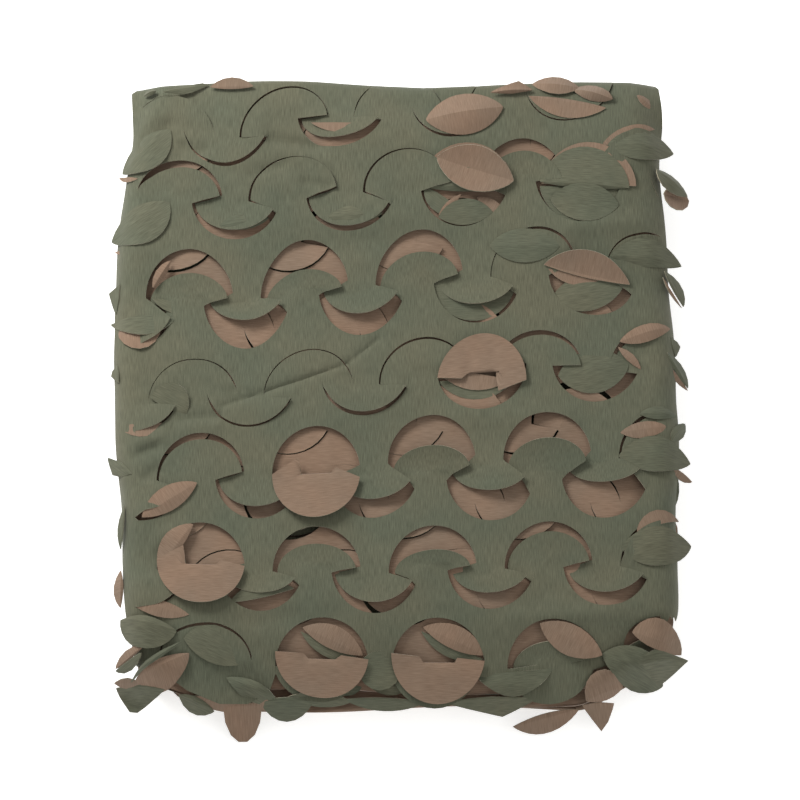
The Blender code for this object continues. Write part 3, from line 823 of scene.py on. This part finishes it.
def neckPoints(leaves):
    # Closer points where a leaf is turned over its neck
    found = []
    clear = filling["neckClear"]
    for leaf in leaves:
        if leaf["share"] != 0:
            continue
        for j in range(5):
            v = leaf["neck"] + leaf["arch"] * j * 0.25 * pi * leafLie["turnedBend"]
            for i in range(17):
                x = leaf["cx"] + (i - 8) * filling["neckStep"]
                if leaf["left"][0] + clear < x < leaf["right"][0] - clear:
                    found.append(Vector((x, along(topLayer, v + rowHeight(leaf["row"], x)))))
    return found


def insideOutline(outline, centres):
    # Even-odd test of many points against the cloth's outline
    px, py = centres[:, 0], centres[:, 1]
    inside = np.zeros(len(centres), bool)
    for (x0, y0), (x1, y1) in zip(outline, outline[1:] + outline[:1]):
        if y0 == y1:
            continue
        crossing = (y0 > py) != (y1 > py)
        inside ^= crossing & (px < (x1 - x0) * (py - y0) / (y1 - y0) + x0)
    return inside


def roundOff(past, radius, slope):
    # How far a rounded edge has dropped, past being the distance since it began
    if past <= 0:
        return 0.0
    if past < radius * drape["arcShare"]:
        return radius - sqrt(radius * radius - past * past)
    return radius * drape["arcDrop"] + (past - radius * drape["arcShare"]) * slope


def drapeHeight(x, y):
    # The pile's upper surface, running on down over its sides, for what lies loose on it
    inX = min(max(x, -drape["side"]), drape["side"])
    inY = min(max(y, -drape["near"]), drape["far"])
    top = settle(inX, inY, layerHeight(topLayer), topLayer, 0.0).z
    edge = pile["halfWidth"] + widening(x, y)
    drop = roundOff(abs(x) - edge + pile["rollRadius"], pile["rollRadius"], 1.0)
    nearEdge = cornerPull(x, y) - drape["nearEdge"]
    drop += roundOff(nearEdge - y, drape["endRadius"], drape["nearSlope"])
    drop += roundOff(y - drape["farEdge"], drape["endRadius"], 1.0)
    return max(top - drop, pile["thickness"])


def addLeaf(work, place, face, ends, bulges, heights, tips=(None, None), ground=drapeHeight):
    # One loose leaf, or a half of one, with its ridge along the way from one end to the other
    x0, y0, x1, y1 = ends
    length = hypot(x1 - x0, y1 - y0)
    normal = ((y0 - y1) / length, (x1 - x0) / length)
    steps = max(leafShape["fewest"][0], int(length / leafShape["stepLong"]))
    sides = max(leafShape["fewest"][1], int(max(bulges) / leafShape["stepWide"]))

    def shape(s, bulge, tip):
        if tip:
            return min(s / tip, (1 - s) / (1 - tip)) ** leafShape["tipPower"]
        full = min(bulge / (length / 2), 1.0)
        return max(1 - (2 * s - 1) ** 2, 0.0) ** (1 - 0.5 * full ** 1.5)

    made = []
    low = -sides if bulges[1] > 1e-6 else 0
    high = sides if bulges[0] > 1e-6 else 0
    for i in range(steps + 1):
        s = (1 - cos(pi * i / steps)) / 2
        ridge = heights[0] + (heights[1] - heights[0]) * sin(pi * s)
        line = []
        for j in range(low, high + 1):
            if line and i in (0, steps):
                line.append(line[0])
                continue
            t = abs(j) / sides
            side = 0 if j > 0 else 1
            amount = shape(s, bulges[side], tips[side])
            reach = bulges[side] * amount * t * (1 - 2 * side)
            x = x0 + (x1 - x0) * s + normal[0] * reach
            y = y0 + (y1 - y0) * s + normal[1] * reach
            fall = t ** leafShape["fall"]
            lift = ridge + (heights[0] + (heights[2 + side] - heights[0]) * amount - ridge) * fall
            rough = leafShape["rough"] * noise.noise(Vector((x * 90, y * 90, x0 * 50)))
            z = ground(x, y) + lift + rough
            vertex = work.verts.new((x + pile["middle"][0], y + pile["middle"][1],
                                     max(z, pile["thickness"] / 2)))
            vertex[place] = (reach + y0 * 3.1, s * length + x0 * 2.3, 0)
            line.append(vertex)
        made.append(line)
    for i in range(steps):
        for j in range(high - low):
            ring = [made[i][j], made[i + 1][j], made[i + 1][j + 1], made[i][j + 1]]
            ring = [v for k, v in enumerate(ring) if v not in ring[:k]]
            work.faces.new(ring if face == "green" else ring[::-1])
        if low < 0 < high:
            work.edges.get((made[i][-low], made[i + 1][-low])).smooth = False


def addLooseLeaves(work, place):
    for face, leaves in (("green", greenLeaves), ("brown", brownLeaves)):
        for ends, bulges, heights, *tips in leaves:
            addLeaf(work, place, face, mm(ends), mm(bulges), mm(heights), *tips)


def addEdgeTips(work, place):
    # Leaves of the lower layers that stand out of the pile's sides
    for sideIndex, (alongX, sign) in enumerate(((False, 1), (False, -1), (True, 1), (True, -1))):
        count = edgeTips["short"] if alongX else edgeTips["long"]
        for index in range(count):
            odd = sin(12.9 * index + 7.1 * sideIndex)
            even = cos(7.7 * index + 3.3 * sideIndex)
            span = edgeTips["shortSpan" if alongX else "longSpan"]
            middle = (-1 + 2 * (index + 0.5 + 0.3 * odd) / count) * span
            share = 0.5 + 0.5 * sin(5.3 * index + 2 * sideIndex)
            level = edgeTips["lowest"] + (edgeTips["highest"] - edgeTips["lowest"]) * share
            half = edgeTips["half"] * (0.8 + 0.3 * even)
            reach = edgeTips["nearReach" if alongX and sign < 0 else "reach"]
            reach *= 0.75 + 0.35 * odd
            skew = edgeTips["skew"] * odd
            if alongX:
                base = edgeTips["farBase"]
                if sign < 0:
                    base = cornerPull(middle, edgeTips["nearPlace"]) - edgeTips["nearBase"]
                ends = (middle - half, base, middle + half, base + skew)
                flip = sign > 0
            else:
                base = sign * (pile["halfWidth"] + widening(sign, middle) - edgeTips["sunk"])
                ends = (base, middle - half, base + skew, middle + half)
                flip = sign < 0
            droop = 0.35 * min(level, reach) * (1 + 0.5 * even)
            bulges = (reach, 0.0) if flip else (0.0, reach)
            heights = (level, level + 0.002, level - droop, level - droop)
            face = "brown" if (index + sideIndex) % 3 == 0 else "green"
            addLeaf(work, place, face, ends, bulges, heights, ground=lambda x, y: 0.0)


def flatCloth(work, place):
    # The whole cloth lying flat, cut along its leaves; gives back each layer's leaves
    outline = sideRun(1) + endRun() + sideRun(-1)[::-1]
    verts = [Vector(p) for p in outline]
    edges = [(i, (i + 1) % len(outline)) for i in range(len(outline))]
    allLeaves = addCuts(verts, edges)
    tree = kdtree.KDTree(len(verts))
    for index, point in enumerate(verts):
        tree.insert((point.x, point.y, 0), index)
    tree.balance()
    verts += layerPoints(tree) + creasePoints(tree) + neckPoints(allLeaves[topLayer])
    points, links, faces, _, fromEdges, _ = delaunay_2d_cdt(verts, edges, [], 0, 1e-6, True)
    centres = np.array([[sum(points[i][k] for i in face) / 3 for k in (0, 1)] for face in faces])
    for point in points:
        vertex = work.verts.new((point.x, point.y, 0))
        vertex[place] = (point.x, point.y, 0)
    work.verts.ensure_lookup_table()
    for face, wanted in zip(faces, insideOutline(outline, centres)):
        if wanted:
            work.faces.new([work.verts[i] for i in reversed(face)])
    loose = [v for v in work.verts if not v.link_faces]
    cutEdges = []
    for link, sources in zip(links, fromEdges):
        if any(source >= len(outline) for source in sources):
            edge = work.edges.get((work.verts[link[0]], work.verts[link[1]]))
            if edge is not None:
                cutEdges.append(edge)
    bmesh.ops.split_edges(work, edges=cutEdges)
    bmesh.ops.delete(work, geom=loose, context="VERTS")
    return allLeaves


def foldCloth(work, allLeaves):
    # Brings the flat cloth into the pile and takes out the leaves that have slipped under
    moved = {}
    slipped = []
    for face in work.faces:
        centre = face.calc_center_median()
        layer, y, bend = planPlace(centre.y)
        if bend > 0:
            continue
        for leaf in allLeaves[layer]:
            if abs(centre.x - leaf["cx"]) > figure["boxWide"]:
                continue
            away = y - rowHeight(leaf["row"], centre.x)
            if abs(away) < figure["boxTall"] and insideLeaf(leaf, centre.x, away):
                for vertex in face.verts:
                    moved[vertex] = (layer, leaf)
                if leaf["share"] < 0:
                    slipped.append(face)
                break
    for vertex in work.verts:
        x, run = vertex.co.x, vertex.co.y
        if vertex in moved:
            layer, leaf = moved[vertex]
            y = layerEnds[layer][0] + layerWay(layer) * (run - layerStarts[layer])
            newX, newY, lift = leafPlace(leaf, x, y, pile["edgeHalf"][layer] - abs(x))
            vertex.co = settle(newX, newY, layerHeight(layer), layer, lift)
        else:
            vertex.co = lay(x, run)
    bmesh.ops.delete(work, geom=slipped, context="FACES")


def thicken(net):
    # Gives the sheet its two sides and its cut edge, and marks the sharp edges
    thick = net.modifiers.new("thickness", "SOLIDIFY")
    thick.thickness = pile["thickness"]
    thick.offset = 0
    thick.material_offset = 1
    thick.material_offset_rim = 2
    bpy.context.view_layer.update()
    depsgraph = bpy.context.evaluated_depsgraph_get()
    solid = bpy.data.meshes.new_from_object(net.evaluated_get(depsgraph))
    net.modifiers.clear()
    net.data = solid
    solid.polygons.foreach_set("use_smooth", [True] * len(solid.polygons))
    creased = np.zeros(len(solid.edges), bool)
    solid.attributes["sharp_edge"].data.foreach_get("value", creased)
    solid.set_sharp_from_angle(angle=radians(pile["sharpFrom"]))
    sharp = np.zeros(len(solid.edges), bool)
    solid.attributes["sharp_edge"].data.foreach_get("value", sharp)
    solid.attributes["sharp_edge"].data.foreach_set("value", sharp | creased)
    print("net", len(solid.vertices), "points", len(solid.polygons), "faces")


def makeNet(materials):
    work = bmesh.new()
    place = work.verts.layers.float_vector.new("clothPlace")
    foldCloth(work, flatCloth(work, place))
    addLooseLeaves(work, place)
    addEdgeTips(work, place)
    mesh = bpy.data.meshes.new("net")
    work.to_mesh(mesh)
    work.free()
    for material in materials:
        mesh.materials.append(material)
    made = addObject("netCloth", mesh)
    thicken(made)
    return made


# What the three cloth materials share
finish = {
    "sheenRoughness": 0.5, "specular": 0.25, "bumpHeight": 0.0002,
    "threadRamp": (0.30, 0.72), "cloudRamp": (0.34, 0.66),
}


def newMaterial(name, values):
    # A material and its surface, with the given values set
    material = bpy.data.materials.new(name)
    material.use_nodes = True
    surface = material.node_tree.nodes["Principled BSDF"]
    for key, value in values.items():
        surface.inputs[key].default_value = value
    return material, surface


def clothMaterial(name, settings):
    material, surface = newMaterial(name, {
        "Roughness": settings["roughness"], "Sheen Weight": settings["sheen"],
        "Sheen Roughness": finish["sheenRoughness"], "Specular IOR Level": finish["specular"]})
    nodes, links = material.node_tree.nodes, material.node_tree.links

    def node(kind, output, **inputs):
        made = nodes.new("ShaderNode" + kind)
        for key, value in inputs.items():
            if isinstance(value, bpy.types.NodeSocket):
                links.new(value, made.inputs[key])
            else:
                made.inputs[key].default_value = value
        return made.outputs[output]

    def shades(factor, positions, names):
        ramp = nodes.new("ShaderNodeValToRGB")
        for element, position, shade in zip(ramp.color_ramp.elements, positions, names):
            element.position = position
            element.color = settings[shade]
        links.new(factor, ramp.inputs["Fac"])
        return ramp.outputs["Color"]

    attribute = nodes.new("ShaderNodeAttribute")
    attribute.attribute_name = "clothPlace"
    place = attribute.outputs["Vector"]
    stretched = node("Mapping", "Vector", Vector=place, Scale=settings["threads"])
    threads = node("TexNoise", "Fac", Vector=stretched, Scale=1.0, Detail=3.0)
    clouds = node("TexNoise", "Fac", Vector=place, Scale=settings["clouds"], Detail=3.0)
    fine = node("Mapping", "Vector", Vector=place, Scale=settings["weave"])
    weave = node("TexNoise", "Fac", Vector=fine, Scale=1.0, Detail=2.0)
    mix = nodes.new("ShaderNodeMix")
    mix.data_type = "RGBA"
    mix.blend_type = "MULTIPLY"
    mix.inputs["Factor"].default_value = 1.0
    links.new(shades(threads, finish["threadRamp"], ("dark", "light")), mix.inputs[6])
    links.new(shades(clouds, finish["cloudRamp"], ("cool", "warm")), mix.inputs[7])
    links.new(mix.outputs[2], surface.inputs["Base Color"])
    normal = node("Bump", "Normal", Strength=settings["bump"], Distance=finish["bumpHeight"],
                  Height=weave)
    links.new(normal, surface.inputs["Normal"])
    return material


cloth = {
    "green": {"dark": (0.070, 0.073, 0.047, 1), "light": (0.117, 0.121, 0.081, 1),
              "cool": (0.90, 0.94, 0.93, 1), "warm": (1.08, 1.02, 0.98, 1),
              "threads": (2200, 150, 1), "weave": (1900, 1500, 1), "clouds": 22,
              "roughness": 0.86, "sheen": 0.12, "bump": 0.35},
    "brown": {"dark": (0.156, 0.106, 0.071, 1), "light": (0.226, 0.160, 0.111, 1),
              "cool": (0.94, 0.95, 0.96, 1), "warm": (1.06, 0.99, 0.96, 1),
              "threads": (150, 2200, 1), "weave": (1500, 1900, 1), "clouds": 28,
              "roughness": 0.88, "sheen": 0.12, "bump": 0.35},
    # The cut edge: lighter than both faces, partly for its frayed threads and partly a painted
    # highlight where the rim catches the light
    "edge": {"dark": (0.22, 0.20, 0.14, 1), "light": (0.36, 0.33, 0.25, 1),
             "cool": (0.9, 0.92, 0.9, 1), "warm": (1.05, 1.0, 0.96, 1),
             "threads": (700, 700, 1), "weave": (1500, 1500, 1), "clouds": 60,
             "roughness": 0.9, "sheen": 0.1, "bump": 0.2},
}

materials = [clothMaterial(name + "Cloth", cloth[name]) for name in ("green", "brown", "edge")]
net = makeNet(materials)
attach(net, "root")
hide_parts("net")
print("net laid")

# Floor, light and camera
studio = {
    "floorSize": 6.0,
    "floorColour": (0.86, 0.86, 0.85, 1),
    "world": (1.0, 1.0, 1.0, 1),
    "worldStrength": 0.63,
    "floorRoughness": 0.9,
    "floorGlow": 0.70,
    "elevation": 74.0,
    "distance": 5.0,
    "frameWidth": 0.4544,
    "target": (0.0006, 0.0005, 0.046),
    "key": ((-0.62, 0.66, 0.76), 13.5, 0.46),
    "fill": ((1.4, -0.9, 1.9), 8, 1.6),
    "lightsOn": (0, 0, 0.03),
    "sensor": 36,
}

floorMaterial, _ = newMaterial("paleFloor", {
    "Base Color": studio["floorColour"], "Roughness": studio["floorRoughness"],
    "Emission Color": studio["floorColour"], "Emission Strength": studio["floorGlow"]})
floorMesh = bpy.data.meshes.new("floor")
size = studio["floorSize"] / 2
floorMesh.from_pydata([(-size, -size, 0), (size, -size, 0), (size, size, 0), (-size, size, 0)], [],
                      [(0, 1, 2, 3)])
floorMesh.materials.append(floorMaterial)
floor = addObject("floor", floorMesh)

world = bpy.data.worlds.new("paleRoom")
bpy.context.scene.world = world
world.use_nodes = True
background = world.node_tree.nodes["Background"]
background.inputs["Color"].default_value = studio["world"]
background.inputs["Strength"].default_value = studio["worldStrength"]


def softLight(name, place, power, lightSize):
    data = bpy.data.lights.new(name, "AREA")
    data.energy = power
    data.size = lightSize
    lamp = addObject(name, data)
    lamp.location = place
    way = Vector(studio["lightsOn"]) - Vector(place)
    lamp.rotation_euler = way.to_track_quat("-Z", "Y").to_euler()


softLight("keyLight", *studio["key"])
softLight("fillLight", *studio["fill"])

cameraData = bpy.data.cameras.new("camera")
camera = addObject("camera", cameraData)
bpy.context.scene.camera = camera
elevation = radians(studio["elevation"])
target = Vector(studio["target"])
camera.location = target + studio["distance"] * Vector((0, -cos(elevation), sin(elevation)))
camera.rotation_euler = (target - camera.location).to_track_quat("-Z", "Y").to_euler()
cameraData.sensor_width = studio["sensor"]
cameraData.lens = studio["sensor"] * studio["distance"] / studio["frameWidth"]
bpy.context.scene.view_settings.view_transform = "Standard"

print("scene ready")
